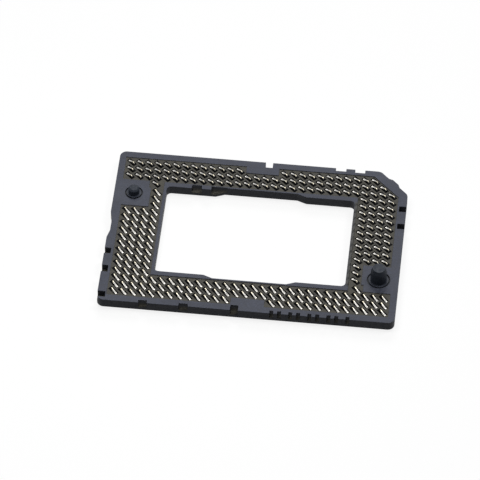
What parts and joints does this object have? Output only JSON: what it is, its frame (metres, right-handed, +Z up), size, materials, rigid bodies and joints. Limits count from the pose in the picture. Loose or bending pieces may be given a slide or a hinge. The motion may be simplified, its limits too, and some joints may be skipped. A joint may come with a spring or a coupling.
{
  "type": "land grid array chip socket",
  "caption": "Flat open-frame chip socket: a moulded frame round a window, with two locating posts, diagonal spring contacts in slots and solder balls underneath.",
  "frame": {"origin": "on the board plane at the tips of the solder balls, under the middle of the frame", "axes": "+X along the frame's long side to the right, +Y from the front to the back, +Z up through the frame to the contact side"},
  "size_m": [0.032, 0.0222, 0.0033],
  "materials": {
    "housing": "moulded, fine matte",
    "contacts": "thin gold plate over copper alloy",
    "solder": "reflowed solder, soft sheen"
  },
  "bodies": {
    "root": {"housing": "housing", "front_left_contacts_row_01": "contacts", "front_left_contacts_row_02": "contacts", "front_left_contacts_row_03": "contacts", "front_left_contacts_row_04": "contacts", "front_left_contacts_row_05": "contacts", "front_left_contacts_row_06": "contacts", "front_left_contacts_row_07": "contacts", "front_left_contacts_row_08": "contacts", "front_left_contacts_row_09": "contacts", "front_left_contacts_row_10": "contacts", "front_left_contacts_row_11": "contacts", "front_left_contacts_row_12": "contacts", "front_left_contacts_row_13": "contacts", "front_left_contacts_row_14": "contacts", "front_left_contacts_row_15": "contacts", "front_left_contacts_row_16": "contacts", "back_right_contacts_row_05": "contacts", "back_right_contacts_row_06": "contacts", "back_right_contacts_row_07": "contacts", "back_right_contacts_row_08": "contacts", "back_right_contacts_row_09": "contacts", "back_right_contacts_row_10": "contacts", "back_right_contacts_row_11": "contacts", "back_right_contacts_row_12": "contacts", "back_right_contacts_row_13": "contacts", "back_right_contacts_row_14": "contacts", "back_right_contacts_row_15": "contacts", "back_right_contacts_row_16": "contacts", "back_right_contacts_row_17": "contacts", "back_right_contacts_row_18": "contacts", "back_right_contacts_row_19": "contacts", "back_right_contacts_row_20": "contacts", "solder_balls_row_01": "solder", "solder_balls_row_02": "solder", "solder_balls_row_03": "solder", "solder_balls_row_04": "solder", "solder_balls_row_05": "solder", "solder_balls_row_06": "solder", "solder_balls_row_07": "solder", "solder_balls_row_08": "solder", "solder_balls_row_09": "solder", "solder_balls_row_10": "solder", "solder_balls_row_11": "solder", "solder_balls_row_12": "solder", "solder_balls_row_13": "solder", "solder_balls_row_14": "solder", "solder_balls_row_15": "solder", "solder_balls_row_16": "solder", "solder_balls_row_17": "solder", "solder_balls_row_18": "solder", "solder_balls_row_19": "solder", "solder_balls_row_20": "solder"}
  },
  "joints": []
}
